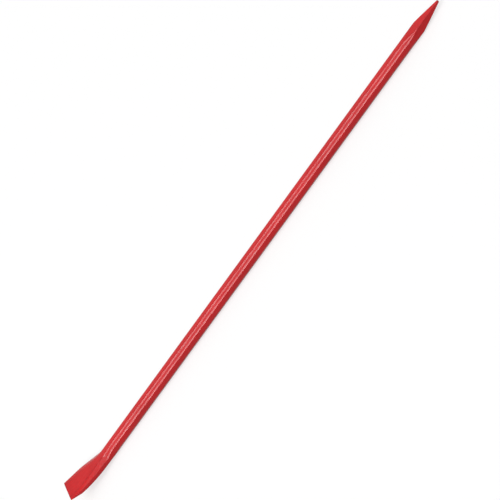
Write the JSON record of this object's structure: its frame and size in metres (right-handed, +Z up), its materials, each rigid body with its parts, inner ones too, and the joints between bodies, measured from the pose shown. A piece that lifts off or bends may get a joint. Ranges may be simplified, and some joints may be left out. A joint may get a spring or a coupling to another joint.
{
  "type": "digging bar",
  "caption": "Long octagonal steel digging bar, painted red, with a flared and slightly bent chisel at one end and a blunt square point at the other, for loosening and prying.",
  "frame": {"origin": "bottom centre of the bar's box: middle of its length, middle of its width, on the plane that its lower flat lies on", "axes": "+X along the bar from the chisel to the point, +Z up, the way the blade bends, +Y across the blade"},
  "size_m": [1.5, 0.0584, 0.0448],
  "materials": {
    "enamel": "semi-gloss red enamel over forged steel"
  },
  "bodies": {
    "root": {"chisel_end": "enamel", "shank": "enamel", "point_end": "enamel"}
  },
  "joints": []
}
